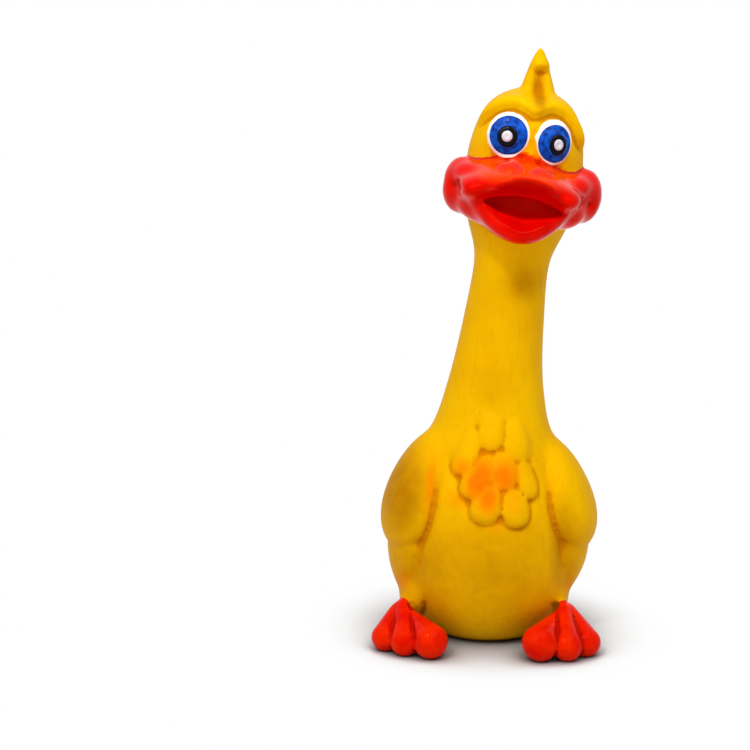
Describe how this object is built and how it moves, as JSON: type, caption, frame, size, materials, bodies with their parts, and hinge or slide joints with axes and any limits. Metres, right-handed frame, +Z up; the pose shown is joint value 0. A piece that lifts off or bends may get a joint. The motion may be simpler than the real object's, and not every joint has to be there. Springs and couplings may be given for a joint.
{
  "type": "squeaky dog toy",
  "caption": "Hollow yellow latex duck toy with a long leaning neck, open red bill, painted eyes and feet, and a reed squeaker pressed into its flat base.",
  "frame": {"origin": "on the floor, under the middle of the toy's bounding box", "axes": "+Z up; the duck faces -Y; +X is the duck's left, the side that the neck leans to"},
  "size_m": [0.101, 0.099, 0.2594],
  "materials": {
    "yellow_latex": "satin",
    "orange_latex": "satin",
    "red_paint": "gloss",
    "dark_red_paint": "gloss",
    "white_paint": "gloss",
    "blue_paint": "gloss",
    "black_paint": "gloss",
    "white_plastic": "moulded",
    "reed_film": "smooth film"
  },
  "bodies": {
    "latex_duck": {"torso_skin": "yellow_latex", "neck_skin": "yellow_latex", "head_skin": "yellow_latex", "wing_left": "yellow_latex", "wing_right": "yellow_latex", "thigh_left": "yellow_latex", "thigh_right": "yellow_latex", "tail": "yellow_latex", "brow_ridge": "yellow_latex", "tuft": "yellow_latex", "chest_feather_1": "orange_latex", "chest_feather_2": "orange_latex", "chest_feather_3": "orange_latex", "chest_feather_4": "orange_latex", "chest_feather_5": "orange_latex", "chest_feather_6": "orange_latex", "chest_feather_7": "orange_latex", "chest_feather_8": "orange_latex", "bill_upper": "red_paint", "bill_lower": "red_paint", "cheek_left": "red_paint", "cheek_right": "red_paint", "mouth_lining": "dark_red_paint", "foot_left": "red_paint", "foot_right": "red_paint", "eye_white_left": "white_paint", "eye_white_right": "white_paint", "iris_left": "blue_paint", "iris_right": "blue_paint", "pupil_left": "black_paint", "pupil_right": "black_paint", "highlight_left": "white_paint", "highlight_right": "white_paint", "squeaker_bush": "white_plastic", "reed_plate": "white_plastic", "reed_wedge": "white_plastic", "squeaker_cap": "white_plastic"},
    "reed": {"squeaker_reed": "reed_film"}
  },
  "joints": [
    {"name": "reed_flutter", "type": "hinge", "parent": "latex_duck", "child": "reed", "pos_m": [0.00244, 0.00647, 0.0103], "axis": [1, 0, 0], "range_deg": [-2.5, 2.5], "stiffness_Nm_per_rad": 0.0077}
  ]
}
